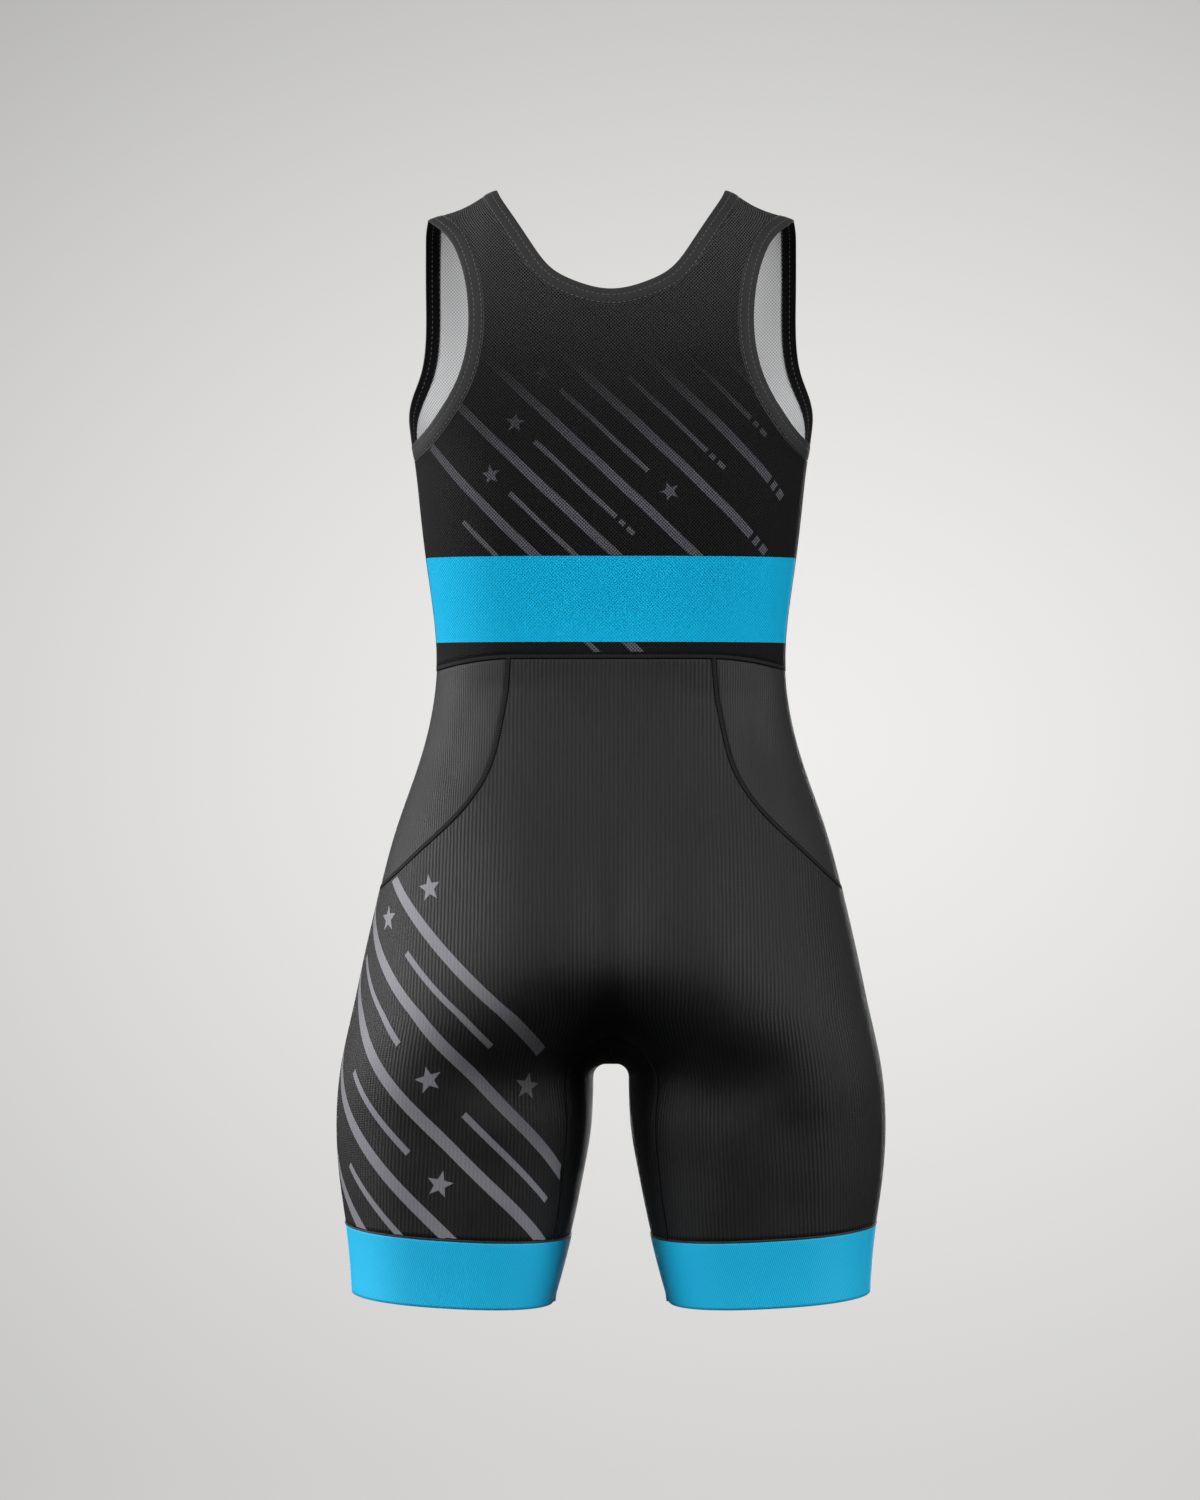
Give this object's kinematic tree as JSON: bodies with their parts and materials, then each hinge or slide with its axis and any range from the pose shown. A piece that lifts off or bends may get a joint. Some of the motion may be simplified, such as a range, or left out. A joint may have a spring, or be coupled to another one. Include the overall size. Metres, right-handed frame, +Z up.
{
  "type": "wrestling singlet",
  "caption": "Women's cut wrestling singlet, worn shape without a wearer: scooped neck, bound edges, hip panels, inner-leg panel and elastic leg bands.",
  "frame": {"origin": "midway between the shoulders, on the line where the straps rest on them", "axes": "+Z up, +Y towards the wearer's front, +X towards the wearer's right; the pictured back faces -Y"},
  "size_m": [0.4082, 0.2325, 0.8295],
  "materials": {
    "mesh_knit": "pin-dot polyester knit, matt",
    "compression_knit": "fine ribbed compression knit, soft sheen",
    "binding": "folded knit binding, matt",
    "leg_elastic": "cyan ribbed elastic, matt"
  },
  "bodies": {
    "root": {"upper_back": "mesh_knit", "upper_front": "mesh_knit", "seat_panel": "compression_knit", "lower_front": "compression_knit", "hip_panel_left": "compression_knit", "hip_panel_right": "compression_knit", "inner_leg_panel": "compression_knit", "leg_band_left": "leg_elastic", "leg_band_right": "leg_elastic", "neck_binding": "binding", "armhole_binding_left": "binding", "armhole_binding_right": "binding"}
  },
  "joints": []
}
